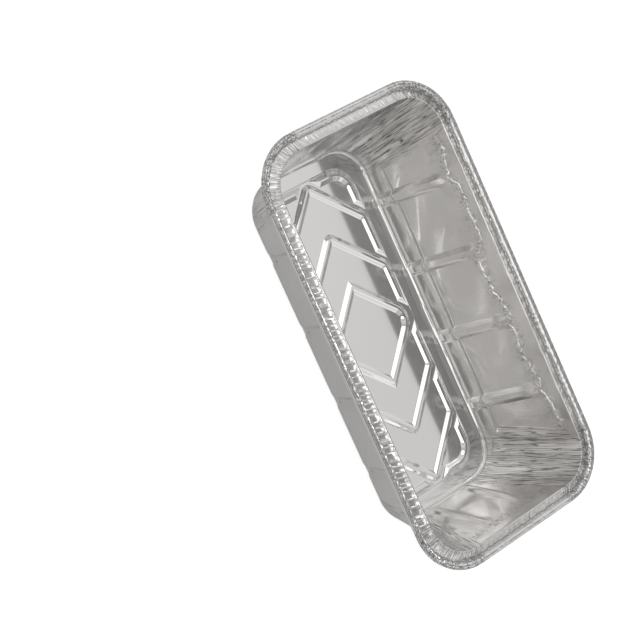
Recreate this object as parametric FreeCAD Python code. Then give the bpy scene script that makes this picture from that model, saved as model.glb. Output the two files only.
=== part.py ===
# Foil loaf pan, pressed from one sheet of aluminium foil. Millimetres, +Z up.
# The origin is the middle of the face it stands on, and X runs along its length.
#
# The sheet is built as two skins, the food side and the underside, one foil gauge apart.
# Each skin follows one section from the floor to the raw edge of the rolled rim:
# floor, fold, shoulder, wall, collar, lip, crimped flange, crease, roll. On the long sides a
# band and a ledge come between the shoulder and the wall.
# A level is the outline of a skin at one point of that section.

import FreeCAD, Part
import math
import os
import random

# Overall size, over the rolled edge
LENGTH = 218.0
WIDTH = 115.0
HEIGHT = 55.8
FOIL = 0.09

# Rim: a flange that falls from the lip to a crease, then a roll that stands proud of it
RIM_RADIUS = 27.0
CORNER_STEPS = 9
ROLL_DIAMETER = 3.7
ROLL_END = -110.0
ROLL_FACETS = 9
LIP_INSET = 8.8
LIP_DROP = 0.3
CREASE_INSET = 4.3
CREASE_DROP = 2.5

# Floor, fold, band and ledge. The rim reaches past the floor by the two overhangs.
END_OVERHANG = 20.0
SIDE_OVERHANG = 22.7
FLOOR_RADIUS = 16.4
FOLD_RADIUS = 1.6
FOLD_FACETS = 3
SHOULDER_WIDTH = 0.7
BAND_LEAN = 2.6
LEDGE_HEIGHT = 9.8
LEDGE_WIDTH = 1.3

# Wall ribs, pressed inwards between the gathered corners. They run out below the plain
# collar, which is measured down from the lip.
COLLAR_DEPTH = 6.7
RIB_RUNOUT = 4.8
RIB_START = 0.3
RIB_FADE = 0.65
SIDE_RIBS = 4
SIDE_RIB_WIDTH = 7.0
SIDE_RIB_CREST = 2.6
SIDE_RIB_DEPTH = 2.2
SIDE_RIB_MARGIN = 9.2
END_RIBS = 2
END_RIB_WIDTH = 4.6
END_RIB_CREST = 1.6
END_RIB_DEPTH = 0.9
END_RIB_MARGIN = 0.4

# Corner gathers on the wall and crimps on the flange
GATHERS = 17
GATHER_DEPTH = 0.42
GATHER_START = 0.6
GATHER_SPREAD = 4.0
CRIMP_PITCH = 6.0
CRIMP_HEIGHT = 0.38
CRIMP_PEAK = 0.55
UNEVENNESS = 0.35
SEED = 7

# Floor panel and its raised beads: a diamond in the middle, chevrons that point away
# from it, and one bead round each corner
PANEL_END_MARGIN = 7.4
PANEL_SIDE_MARGIN = 7.6
PANEL_RADIUS = 12.5
PANEL_RISE = 0.4
PANEL_STEP = 0.7
BEAD_WIDTH = 5.2
BEAD_CREST = 1.1
BEAD_HEIGHT = 1.3
BEAD_GAP = 1.0
BEAD_MARGIN = 0.9
ARM_ANGLE = 44.0
CHEVRONS = 2
TIP_MARGIN = 3.7
TIP_RADIUS = 2.0
BEND_RADIUS = 3.4
DIAMOND_MARGIN = 2.6
DIAMOND_RADIUS = 8.5

UP = FreeCAD.Vector(0, 0, 1)
ALONG_X = FreeCAD.Vector(1, 0, 0)
ALONG_Y = FreeCAD.Vector(0, 1, 0)

SEWING = 1e-5

# Worked out from the sizes above
FLOOR_HALF_LENGTH = LENGTH / 2 - END_OVERHANG
FLOOR_HALF_WIDTH = WIDTH / 2 - SIDE_OVERHANG
PANEL_HALF_LENGTH = FLOOR_HALF_LENGTH - PANEL_END_MARGIN
PANEL_HALF_WIDTH = FLOOR_HALF_WIDTH - PANEL_SIDE_MARGIN
DIAMOND_TIP = (PANEL_HALF_WIDTH - DIAMOND_MARGIN) / math.tan(math.radians(ARM_ANGLE))
TIP_PITCH = (PANEL_HALF_LENGTH - TIP_MARGIN - DIAMOND_TIP) / CHEVRONS


class Level:
    """A rounded rectangle at one height: half length, half width, corner radius and height."""

    def __init__(self, half_length, half_width, radius, height):
        self.half_length = half_length
        self.half_width = half_width
        self.radius = radius
        self.height = height

    def grown(self, by, height):
        """The outline a distance further out, at another height, about the same corner centres."""
        return Level(self.half_length + by, self.half_width + by, self.radius + by, height)

    def towards(self, other, share):
        """The level part of the way to another."""
        return Level(
            self.half_length + (other.half_length - self.half_length) * share,
            self.half_width + (other.half_width - self.half_width) * share,
            self.radius + (other.radius - self.radius) * share,
            self.height + (other.height - self.height) * share,
        )

    def corner_centre(self, corner):
        """Centre of a corner's arc. Corners and sides are numbered anticlockwise from +X +Y."""
        x_sign, y_sign = ((1, 1), (-1, 1), (-1, -1), (1, -1))[corner]
        x = x_sign * (self.half_length - self.radius)
        y = y_sign * (self.half_width - self.radius)
        return FreeCAD.Vector(x, y, self.height)

    def corner_point(self, corner, angle):
        """A point on a corner's arc, at an angle from where the arc starts."""
        turn = math.radians(90 * corner + angle)
        outward = FreeCAD.Vector(math.cos(turn), math.sin(turn), 0)
        return self.corner_centre(corner) + outward * self.radius

    def side_point(self, side, along):
        """A point on a side, measured anticlockwise from the side's middle."""
        x, y = (
            (-along, self.half_width),
            (-self.half_length, -along),
            (along, -self.half_width),
            (self.half_length, along),
        )[side]
        return FreeCAD.Vector(x, y, self.height)

    def half_side(self, side):
        """Half the straight part of a side."""
        half = self.half_width if side % 2 else self.half_length
        return half - self.radius


def side_normal(side):
    """Outward direction of a side."""
    return (ALONG_Y, -ALONG_X, -ALONG_Y, ALONG_X)[side]


# ---------------------------------------------------------------------------------------
# The section


def section():
    """Named levels of the food side, from the floor's edge to the roll's raw edge."""
    floor = Level(FLOOR_HALF_LENGTH, FLOOR_HALF_WIDTH, FLOOR_RADIUS, FOIL)
    rim = Level(LENGTH / 2, WIDTH / 2, RIM_RADIUS, HEIGHT)
    levels = {}
    for facet in range(FOLD_FACETS + 1):
        angle = math.radians(90 * facet / FOLD_FACETS)
        out = FOLD_RADIUS * (math.sin(angle) - 1)
        rise = FOLD_RADIUS * (1 - math.cos(angle))
        levels["fold", facet] = floor.grown(out, FOIL + rise)
    levels["shoulder"] = floor.grown(SHOULDER_WIDTH, FOIL + FOLD_RADIUS)
    levels["band top"] = levels["shoulder"].grown(BAND_LEAN, LEDGE_HEIGHT)
    foot = levels["band top"].grown(LEDGE_WIDTH, LEDGE_HEIGHT)
    lip = rim.grown(-LIP_INSET, HEIGHT - LIP_DROP)
    wall_height = lip.height - foot.height
    levels["foot"] = foot
    levels["rib top"] = lip.towards(foot, (COLLAR_DEPTH + RIB_RUNOUT) / wall_height)
    levels["collar"] = lip.towards(foot, COLLAR_DEPTH / wall_height)
    levels["lip"] = lip
    crease = rim.grown(-CREASE_INSET, HEIGHT - CREASE_DROP)
    levels["crimp"] = lip.towards(crease, CRIMP_PEAK)
    levels["crease"] = crease
    roll = ROLL_DIAMETER / 2
    start = 180 + math.degrees(math.asin(CREASE_DROP / roll - 1))
    for facet in range(ROLL_FACETS + 1):
        angle = math.radians(start + (ROLL_END - start) * facet / ROLL_FACETS)
        out = roll * (math.cos(angle) - 1)
        rise = roll * (math.sin(angle) - 1)
        levels["roll", facet] = rim.grown(out, HEIGHT + rise)
    return levels


def skin_levels(depth):
    """The section moved square to itself by a depth, towards the underside."""
    levels = section()
    names = list(levels)
    path = [(levels[name].half_width, levels[name].height) for name in names]
    normals = []
    for (u0, z0), (u1, z1) in zip(path, path[1:]):
        run = math.hypot(u1 - u0, z1 - z0)
        normals.append(((z1 - z0) / run, -(u1 - u0) / run))
    normals = [(0.0, -1.0)] + normals + [normals[-1]]
    moved = {}
    for name, before, after in zip(names, normals, normals[1:]):
        share = depth / (1 + before[0] * after[0] + before[1] * after[1])
        level = levels[name]
        out = (before[0] + after[0]) * share
        rise = (before[1] + after[1]) * share
        moved[name] = level.grown(out, level.height + rise)
    return moved


# ---------------------------------------------------------------------------------------
# Rings. A ring is a closed outline in eight runs of points, each corner before its side,
# and neighbouring runs share their end points.


def ring(corners, sides):
    """A ring from four corner runs and four side runs."""
    runs = []
    for corner, side in zip(corners, sides):
        runs += [corner, side]
    return runs


def plain_corner(level, corner):
    """Points round a smooth corner."""
    return [level.corner_point(corner, 90 * step / CORNER_STEPS) for step in range(CORNER_STEPS + 1)]


def plain_side(level, side):
    """The two ends of a side's straight part."""
    half = level.half_side(side)
    return [level.side_point(side, -half), level.side_point(side, half)]


def plain_ring(level):
    """A smooth rounded rectangle."""
    corners = [plain_corner(level, corner) for corner in range(4)]
    return ring(corners, [plain_side(level, side) for side in range(4)])


def polygon_wire(points):
    """A closed wire with straight edges."""
    return Part.makePolygon(points + [points[0]])


def ring_wire(runs):
    """The closed wire of a ring."""
    return polygon_wire([point for run in runs for point in run[:-1]])


def strips(lower, upper):
    """Four-sided faces between two rings whose steps are parallel."""
    faces = []
    for low, high in zip(lower, upper):
        for corners in zip(low, low[1:], high[1:], high):
            faces.append(Part.Face(polygon_wire(list(corners))))
    return faces


def fan(points):
    """Triangles from the first of some points to each pair of neighbours after it."""
    return [Part.Face(polygon_wire([points[0], b, c])) for b, c in zip(points[1:], points[2:])]


def facets(lower, upper):
    """Faces between two rings, two triangles to a step."""
    faces = []
    for low, high in zip(lower, upper):
        for cell in zip(low, low[1:], high[1:], high):
            faces += fan(cell)
    return faces


def flat_faces(wires):
    """Flat faces bounded by nested wires, with every second ring left open."""
    return Part.makeFace(wires, "Part::FaceMakerBullseye").Faces


# ---------------------------------------------------------------------------------------
# Ribs, gathers and crimps


def rib_stations(side):
    """Places along a side where its ribs start, crest and end, with the share of the depth."""
    if side % 2:
        count, width, crest, margin = END_RIBS, END_RIB_WIDTH, END_RIB_CREST, END_RIB_MARGIN
        straight = FLOOR_HALF_WIDTH - FLOOR_RADIUS
    else:
        count, width, crest, margin = SIDE_RIBS, SIDE_RIB_WIDTH, SIDE_RIB_CREST, SIDE_RIB_MARGIN
        straight = FLOOR_HALF_LENGTH - FLOOR_RADIUS
    outermost = straight - GATHER_SPREAD - margin - width / 2
    profile = ((-width / 2, 0), (-crest / 2, 1), (crest / 2, 1), (width / 2, 0))
    stations = []
    for rib in range(count):
        middle = outermost * (2 * rib - count + 1) / max(count - 1, 1)
        stations += [(middle + offset, share) for offset, share in profile]
    return stations


def ribbed_side(level, side, share, reach):
    """Points along a side with its ribs pressed in, between ends short of the corner arcs."""
    depth = share * (END_RIB_DEPTH if side % 2 else SIDE_RIB_DEPTH)
    half = level.half_side(side) - reach
    points = [level.side_point(side, -half)]
    for along, weight in rib_stations(side):
        points.append(level.side_point(side, along) - side_normal(side) * (depth * weight))
    points.append(level.side_point(side, half))
    return points


class Folds:
    """Uneven gathers round the corners and crimps along the sides, the same for both skins."""

    def __init__(self):
        dice = random.Random(SEED)
        self.corners = [self.uneven(dice, 2 * GATHERS) for _ in range(4)]
        self.sides = []
        for half in (LENGTH / 2, WIDTH / 2) * 2:
            run = 2 * (half - RIM_RADIUS - GATHER_SPREAD)
            self.sides.append(self.uneven(dice, 2 * max(1, round(run / CRIMP_PITCH))))

    @staticmethod
    def uneven(dice, steps):
        """Shares of a run from 0 to 1 with a signed size at each, valleys next to peaks."""
        stations = [(0.0, 0.0)]
        for step in range(1, steps):
            jitter = dice.uniform(-UNEVENNESS, UNEVENNESS)
            size = 1 - dice.uniform(0, 2 * UNEVENNESS)
            sign = 1 if step % 2 else -1
            stations.append(((step + jitter) / steps, sign * size))
        stations.append((1.0, 0.0))
        return stations

    def corner_run(self, level, corner, depth, height):
        """Points round a gathered corner: pressed in by a depth and lifted by a height."""
        arc = level.radius * math.pi / 2
        total = arc + 2 * GATHER_SPREAD
        points = []
        for share, size in self.corners[corner]:
            distance = share * total - GATHER_SPREAD
            angle = math.degrees(min(max(distance, 0), arc) / level.radius)
            turn = math.radians(90 * corner + angle)
            outward = FreeCAD.Vector(math.cos(turn), math.sin(turn), 0)
            onward = FreeCAD.Vector(-outward.y, outward.x, 0)
            straight = min(distance, 0) + max(distance - arc, 0)
            point = level.corner_point(corner, angle) + onward * straight
            points.append(point - outward * (size * depth) + UP * (size * height))
        return points

    def side_run(self, level, side, height):
        """Points along a crimped side, lifted by a height."""
        half = level.half_side(side) - GATHER_SPREAD
        points = []
        for share, size in self.sides[side]:
            point = level.side_point(side, (2 * share - 1) * half)
            points.append(point + UP * (size * height))
        return points

    def gathered_ring(self, level, gather, rib):
        """Corners with their gathers, and sides with their ribs, at shares of the full depth."""
        corners = [self.corner_run(level, corner, gather * GATHER_DEPTH, 0) for corner in range(4)]
        return ring(corners, [ribbed_side(level, side, rib, GATHER_SPREAD) for side in range(4)])

    def crimped_ring(self, level, depth, height):
        """Corners pressed in by a depth, and folds all round lifted by a height."""
        corners = [self.corner_run(level, corner, depth, height) for corner in range(4)]
        return ring(corners, [self.side_run(level, side, height) for side in range(4)])


# ---------------------------------------------------------------------------------------
# The parts of a skin


def fold(levels, shoulder):
    """The fold round the floor, and the narrow flat between it and the shoulder's ring."""
    rings = [plain_ring(levels["fold", facet]) for facet in range(FOLD_FACETS + 1)]
    faces = []
    for below, above in zip(rings, rings[1:]):
        faces += strips(below, above)
    return faces + flat_faces([ring_wire(rings[-1]), ring_wire(shoulder)])


def point_at(low, high, height):
    """The point between two others at a height."""
    return low + (high - low) * ((height - low.z) / (high.z - low.z))


def stepped_side(levels, side, low, high):
    """A long side from the shoulder to the top of its ribs: band, ledge and wall."""
    height = levels["foot"].height
    start, end = (point_at(low[index], high[index], height) for index in (0, -1))
    runs = []
    for name in ("band top", "foot"):
        run = ribbed_side(levels[name], side, 1, 0)
        runs.append([start] + run[1:-1] + [end])
    band_top, foot = runs
    ledge = Part.Face(polygon_wire(band_top + foot[-2:0:-1]))
    return facets([low], [band_top]) + [ledge] + facets([foot], [high])


def gathered_corner(corner, low, high, height):
    """A corner of the wall, which shares the end of the ledge with the long side beside it."""
    cells = list(zip(low, low[1:], high[1:], high))
    if corner % 2:
        a, b, c, d = cells[0]
        cells[0] = (b, c, d, point_at(a, d, height), a)
    else:
        a, b, c, d = cells[-1]
        cells[-1] = (a, b, point_at(b, c, height), c, d)
    faces = []
    for cell in cells:
        faces += fan(cell)
    return faces


def wall(levels, folds, shoulder):
    """The ribbed sides and gathered corners, and the plain collar under the lip."""
    rib_top = folds.gathered_ring(levels["rib top"], 1, RIB_FADE)
    collar = folds.gathered_ring(levels["collar"], 1, 0)
    lip = folds.crimped_ring(levels["lip"], GATHER_DEPTH, 0)
    faces = facets(shoulder[3::4], rib_top[3::4]) + facets(rib_top, collar)
    for index in range(4):
        low, high = shoulder[2 * index], rib_top[2 * index]
        faces += gathered_corner(index, low, high, levels["foot"].height)
    for side in (0, 2):
        faces += stepped_side(levels, side, shoulder[2 * side + 1], rib_top[2 * side + 1])
    faces += facets(collar[::2], lip[::2])
    for low, high in zip(collar[1::2], lip[1::2]):
        faces.append(Part.Face(polygon_wire(low + high[::-1])))
    return faces


def flange(levels, folds):
    """The crimped flange and the flat bottom of its crease, up to where the roll starts."""
    lip = folds.crimped_ring(levels["lip"], GATHER_DEPTH, 0)
    ridges = folds.crimped_ring(levels["crimp"], 0, CRIMP_HEIGHT)
    crease = folds.crimped_ring(levels["crease"], 0, 0)
    start = plain_ring(levels["roll", 0])
    return facets(lip, ridges) + facets(ridges, crease) + flat_faces([ring_wire(crease), ring_wire(start)])


def roll(levels):
    """The rolled edge."""
    rings = [plain_ring(levels["roll", facet]) for facet in range(ROLL_FACETS + 1)]
    faces = []
    for below, above in zip(rings, rings[1:]):
        faces += strips(below, above)
    return faces


# ---------------------------------------------------------------------------------------
# The floor. An outline here is a list of corners (x, y, radius), anticlockwise.


def inset(corners, distance):
    """An outline moved inwards, with its arcs about the same centres."""
    moved = []
    for before, (x, y, radius), after in zip(corners[-1:] + corners, corners, corners[1:] + corners):
        ax, ay = unit(x - before[0], y - before[1])
        bx, by = unit(after[0] - x, after[1] - y)
        share = distance / (1 + ax * bx + ay * by)
        convex = ax * by - ay * bx > 0
        if radius:
            radius += -distance if convex else distance
        moved.append((x - (ay + by) * share, y + (ax + bx) * share, radius))
    return moved


def unit(x, y):
    """A direction of length 1."""
    size = math.hypot(x, y)
    return x / size, y / size


def outline_edges(corners, height):
    """The edges of an outline at a height: one arc at each rounded corner, and the straights."""
    runs = []
    for before, (x, y, radius), after in zip(corners[-1:] + corners, corners, corners[1:] + corners):
        here = FreeCAD.Vector(x, y, height)
        if not radius:
            runs.append([here])
            continue
        back = FreeCAD.Vector(before[0] - x, before[1] - y, 0).normalize()
        on = FreeCAD.Vector(after[0] - x, after[1] - y, 0).normalize()
        half = back.getAngle(on) / 2
        trim = radius / math.tan(half)
        centre = here + (back + on).normalize() * (radius / math.sin(half))
        middle = centre + (here - centre).normalize() * radius
        runs.append([here + back * trim, middle, here + on * trim])
    edges = []
    for run, following in zip(runs, runs[1:] + runs):
        if len(run) == 3:
            edges.append(Part.Arc(*run).toShape())
        edges.append(Part.makeLine(run[-1], following[0]))
    return edges


def flank(lower, upper):
    """Sloping faces between matching edges of two outlines."""
    faces = []
    for low, high in zip(lower, upper):
        ends = [low.firstVertex().Point, high.firstVertex().Point]
        if low.Curve.TypeId == "Part::GeomLine":
            ends += [high.lastVertex().Point, low.lastVertex().Point]
            faces.append(Part.Face(polygon_wire(ends)))
            continue
        circle = low.Curve
        turn = math.degrees(low.LastParameter - low.FirstParameter)
        faces.append(Part.makeLine(*ends).revolve(circle.Center, circle.Axis, turn))
    return faces


def panel_corners():
    """The raised panel's foot."""
    x, y = PANEL_HALF_LENGTH, PANEL_HALF_WIDTH
    return [(x, y, PANEL_RADIUS), (-x, y, PANEL_RADIUS), (-x, -y, PANEL_RADIUS), (x, -y, PANEL_RADIUS)]


def arm_x(tip, offset, y):
    """Where an arm's edge, offset outwards from its centre line, crosses a height y."""
    angle = math.radians(ARM_ANGLE)
    return -tip - offset / math.sin(angle) + y / math.tan(angle)


def chevron_corners(tip):
    """A chevron that points to -X, with legs cut short of the next one's arms."""
    half = BEAD_WIDTH / 2
    leg = PANEL_HALF_WIDTH - BEAD_MARGIN - half
    cut = half + BEAD_GAP
    upper = [
        (arm_x(tip, -half, leg - half), leg - half, BEND_RADIUS - half),
        (arm_x(tip - TIP_PITCH, cut, leg - half), leg - half, 0),
        (arm_x(tip - TIP_PITCH, cut, leg + half), leg + half, 0),
        (arm_x(tip, half, leg + half), leg + half, BEND_RADIUS + half),
    ]
    lower = [(x, -y, radius) for x, y, radius in reversed(upper)]
    nook, apex = (arm_x(tip, -half, 0), 0, 0), (arm_x(tip, half, 0), 0, TIP_RADIUS + half)
    return [nook] + upper + [apex] + lower


def corner_bead_corners():
    """The bead round the panel's corner at -X +Y, cut short of the outermost chevron."""
    tip = DIAMOND_TIP + CHEVRONS * TIP_PITCH
    cut = BEAD_WIDTH / 2 + BEAD_GAP
    slope = math.tan(math.radians(ARM_ANGLE))
    runs = []
    for margin in (BEAD_MARGIN, BEAD_MARGIN + BEAD_WIDTH):
        x, y = PANEL_HALF_LENGTH - margin, PANEL_HALF_WIDTH - margin
        end = (arm_x(tip, cut, y), y, 0)
        foot = (-x, (-x - arm_x(tip, cut, 0)) * slope, 0)
        runs.append([end, (-x, y, PANEL_RADIUS - margin), foot])
    return runs[0] + runs[1][::-1]


def diamond_corners(offset):
    """The diamond's outline, offset outwards from its centre line, rounded at its sides."""
    angle = math.radians(ARM_ANGLE)
    x = DIAMOND_TIP + offset / math.sin(angle)
    y = DIAMOND_TIP * math.tan(angle) + offset / math.cos(angle)
    radius = DIAMOND_RADIUS + offset
    return [(x, 0, 0), (0, y, radius), (-x, 0, 0), (0, -y, radius)]


def mirrored(corners, x_sign, y_sign):
    """An outline mirrored across the middle, still anticlockwise."""
    moved = [(x * x_sign, y * y_sign, radius) for x, y, radius in corners]
    return moved if x_sign * y_sign > 0 else moved[::-1]


def beads():
    """The outline of every bead but the diamond."""
    outlines = []
    for x_sign in (1, -1):
        for number in range(CHEVRONS):
            chevron = chevron_corners(DIAMOND_TIP + (number + 1) * TIP_PITCH)
            outlines.append(mirrored(chevron, x_sign, 1))
        for y_sign in (1, -1):
            outlines.append(mirrored(corner_bead_corners(), x_sign, y_sign))
    return outlines


def floor(depth):
    """The floor: a flat border to stand on, a raised panel, and the beads on it."""
    border = FOIL - depth
    panel = border + PANEL_RISE
    crest = panel + BEAD_HEIGHT
    run = (BEAD_WIDTH - BEAD_CREST) / 2
    step_shift = depth * math.tan(math.atan2(PANEL_RISE, PANEL_STEP) / 2)
    bead_shift = depth * math.tan(math.atan2(BEAD_HEIGHT, run) / 2)
    step = inset(panel_corners(), step_shift)
    foot = outline_edges(step, border)
    panel_edge = outline_edges(inset(step, PANEL_STEP), panel)
    edge = ring_wire(plain_ring(skin_levels(depth)["fold", 0]))
    faces = flat_faces([edge, Part.Wire(foot)]) + flank(foot, panel_edge)
    feet, rings = [], []
    for corners in beads():
        feet.append(outline_edges(inset(corners, bead_shift), panel))
        top = outline_edges(inset(corners, bead_shift + run), crest)
        faces += flank(feet[-1], top) + flat_faces([Part.Wire(top)])
    for side in (1, -1):
        corners = diamond_corners(side * BEAD_WIDTH / 2)
        feet.append(outline_edges(inset(corners, side * bead_shift), panel))
        rings.append(outline_edges(inset(corners, side * (bead_shift + run)), crest))
        faces += flank(feet[-1], rings[-1])
    faces += flat_faces([Part.Wire(edges) for edges in rings])
    return faces + flat_faces([Part.Wire(edges) for edges in [panel_edge] + feet])


def skin(depth, folds):
    """One whole skin, a depth below the food side."""
    levels = skin_levels(depth)
    shoulder = folds.gathered_ring(levels["shoulder"], GATHER_START, RIB_START)
    faces = floor(depth) + fold(levels, shoulder) + wall(levels, folds, shoulder)
    return faces + flange(levels, folds) + roll(levels)


def loaf_pan():
    """The foil as one solid: both skins, closed along the roll's raw edge."""
    folds = Folds()
    faces = skin(0.0, folds) + skin(FOIL, folds)
    edges = [plain_ring(skin_levels(depth)["roll", ROLL_FACETS]) for depth in (0.0, FOIL)]
    faces += strips(*edges)
    shell = Part.makeShell(faces)
    shell.sewShape(SEWING)
    solid = Part.makeSolid(shell)
    if solid.Volume < 0:
        solid.reverse()
    return solid


os.makedirs("parts", exist_ok=True)
pan = loaf_pan()
pan.exportStep("parts/loaf_pan.step")
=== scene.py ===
"""Dresses the foil loaf pan: the pressed sheet with its gathers, crimps, beads and rolled rim."""

import logging
import math
import random
from dataclasses import dataclass
from enum import Enum
from itertools import compress

import bmesh
import bpy
from mathutils import Matrix, Vector, noise


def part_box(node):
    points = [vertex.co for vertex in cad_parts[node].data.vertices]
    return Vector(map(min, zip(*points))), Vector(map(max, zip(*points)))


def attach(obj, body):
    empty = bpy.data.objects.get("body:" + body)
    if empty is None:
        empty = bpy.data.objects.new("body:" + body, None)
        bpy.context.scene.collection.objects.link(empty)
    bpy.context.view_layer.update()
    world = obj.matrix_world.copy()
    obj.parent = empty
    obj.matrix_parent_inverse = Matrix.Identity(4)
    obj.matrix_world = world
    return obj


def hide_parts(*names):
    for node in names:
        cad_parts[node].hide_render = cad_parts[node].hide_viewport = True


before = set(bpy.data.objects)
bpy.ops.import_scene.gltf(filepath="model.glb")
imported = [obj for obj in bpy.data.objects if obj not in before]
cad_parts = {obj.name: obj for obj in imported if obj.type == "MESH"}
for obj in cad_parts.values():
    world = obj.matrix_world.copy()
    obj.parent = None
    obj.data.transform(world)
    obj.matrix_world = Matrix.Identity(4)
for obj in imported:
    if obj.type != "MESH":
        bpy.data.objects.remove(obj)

LOG = logging.getLogger("loaf_pan")
NODE = "loaf_pan"
UP = Vector((0.0, 0.0, 1.0))
ARC_STEP = math.radians(5.0)
LAID = "laid"
CRUMPLED = "crumpled"

Pair = tuple[float, float]
Triple = tuple[float, float, float]
Colour = tuple[float, float, float, float]
Socket = bpy.types.NodeSocket
Value = Socket | float | tuple[float, ...]


def held(value: float) -> float:
    """Return a value held between 0 and 1."""
    return min(max(value, 0.0), 1.0)


def smooth(value: float) -> float:
    """Return an S-shaped blend of a value held between 0 and 1."""
    return held(value) ** 2 * (3 - 2 * held(value))


def mix(start: float, end: float, share: float) -> float:
    """Return the number part of the way from one to another."""
    return start + (end - start) * share


class Stretch(Enum):
    """The two kinds of run that a ring round the pan is made of."""

    CORNER = 0
    SIDE = 1


@dataclass(frozen=True)
class Column:
    """One upright line of the sheet, from the floor to the raw edge.

    Args:
        kind: whether it stands in a corner or on a side.
        number: which corner or side, anticlockwise from +X +Y.
        mark: on a side, its fixed distance from the side's middle, in metres.
        share: in a corner, how far round it; on a side, how far from its mark to the corner.
        crimp: height of the flange's crimp here, as a share of the full height.
        slant: how far the crimp leans sideways across the flange, in metres.
        pinch: size of the wall's gather here, from -1 to 1.
        lasting: whether it goes on below the collar.
    """

    kind: Stretch
    number: int
    mark: float
    share: float
    crimp: float
    slant: float
    pinch: float
    lasting: bool

    def on_long_side(self) -> bool:
        """Return whether it stands on one of the two long sides."""
        return self.kind is Stretch.SIDE and self.number % 2 == 0


@dataclass(frozen=True)
class Outline:
    """A rounded rectangle at one height, in metres."""

    half_length: float
    half_width: float
    radius: float
    height: float

    def grown(self, by: float, height: float) -> "Outline":
        """Return the outline a distance further out, at another height."""
        return Outline(self.half_length + by, self.half_width + by, self.radius + by, height)

    def towards(self, other: "Outline", share: float) -> "Outline":
        """Return the outline part of the way to another."""
        pairs = zip(vars(self).values(), vars(other).values())
        return Outline(*(mix(here, there, share) for here, there in pairs))

    def at(self, other: "Outline", height: float) -> "Outline":
        """Return the outline on the straight line to another, at a height."""
        return self.towards(other, (height - self.height) / (other.height - self.height))

    def straight(self, number: int) -> float:
        """Return half the straight part of a side."""
        return (self.half_length, self.half_width)[number % 2] - self.radius

    def place(self, column: Column) -> tuple[Vector, Vector]:
        """Find where a column crosses this outline.

        Args:
            column: the column.

        Returns:
            The point and the outward direction there.
        """
        if column.kind is Stretch.CORNER:
            turn = math.radians(90 * (column.number + column.share))
            outward = Vector((math.cos(turn), math.sin(turn), 0.0))
            x_sign, y_sign = ((1, 1), (-1, 1), (-1, -1), (1, -1))[column.number]
            centre = Vector((x_sign * self.straight(0), y_sign * self.straight(1), self.height))
            return centre + outward * self.radius, outward
        turn = math.radians(90 * (column.number + 1))
        outward = Vector((math.cos(turn), math.sin(turn), 0.0))
        reach = (self.half_width, self.half_length)[column.number % 2]
        end = math.copysign(self.straight(column.number), column.mark)
        along = mix(column.mark, end, column.share)
        return outward * reach + UP.cross(outward) * along + UP * self.height, outward


@dataclass(frozen=True)
class Waver:
    """A smooth random unevenness.

    Args:
        size: how far it goes either way.
        first: how fast it changes with the first value.
        second: how fast it changes with the second value.
        layer: which layer of the noise it reads.
    """

    size: float
    first: float
    second: float
    layer: float

    def at(self, first: float, second: float) -> float:
        """Return the unevenness at two values."""
        return self.size * noise.noise(Vector((first * self.first, second * self.second, self.layer)))


@dataclass(frozen=True)
class Crease:
    """A sharp fold pressed into a wall between two points.

    Args:
        start: its start, along the wall and up it, in metres.
        end: its end.
        width: how far it spreads to either side.
        depth: how deep it is in its middle.
        taper: how much shallower its ends are, as a share.
    """

    start: Pair
    end: Pair
    width: float
    depth: float
    taper: float = 0.7

    def at(self, along: float, height: float) -> float:
        """Work out how far inwards this fold moves the wall.

        Args:
            along: the place along the wall.
            height: the place up the wall.

        Returns:
            The distance, in metres.
        """
        x, z = along - self.start[0], height - self.start[1]
        run_x, run_z = self.end[0] - self.start[0], self.end[1] - self.start[1]
        share = held((x * run_x + z * run_z) / (run_x**2 + run_z**2))
        away = math.hypot(x - run_x * share, z - run_z * share)
        return self.depth * max(0.0, 1 - away / self.width) * (1 - self.taper * abs(2 * share - 1))

    def turned(self) -> "Crease":
        """Return the same fold on the opposite wall, turned half round the pan."""
        (x0, z0), (x1, z1) = self.start, self.end
        return Crease((-x0, z0), (-x1, z1), self.width, self.depth)


@dataclass(frozen=True)
class Dent:
    """A soft hollow in a wall.

    Args:
        middle: its middle, along the wall and up it, in metres.
        spread: its size in the same directions.
        depth: how deep it is.
    """

    middle: Pair
    spread: Pair
    depth: float

    def at(self, along: float, height: float) -> float:
        """Return how far inwards this hollow moves the wall at a place along and up it."""
        x, z = (along - self.middle[0]) / self.spread[0], (height - self.middle[1]) / self.spread[1]
        return self.depth * math.exp(-2 * (x * x + z * z))


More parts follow.
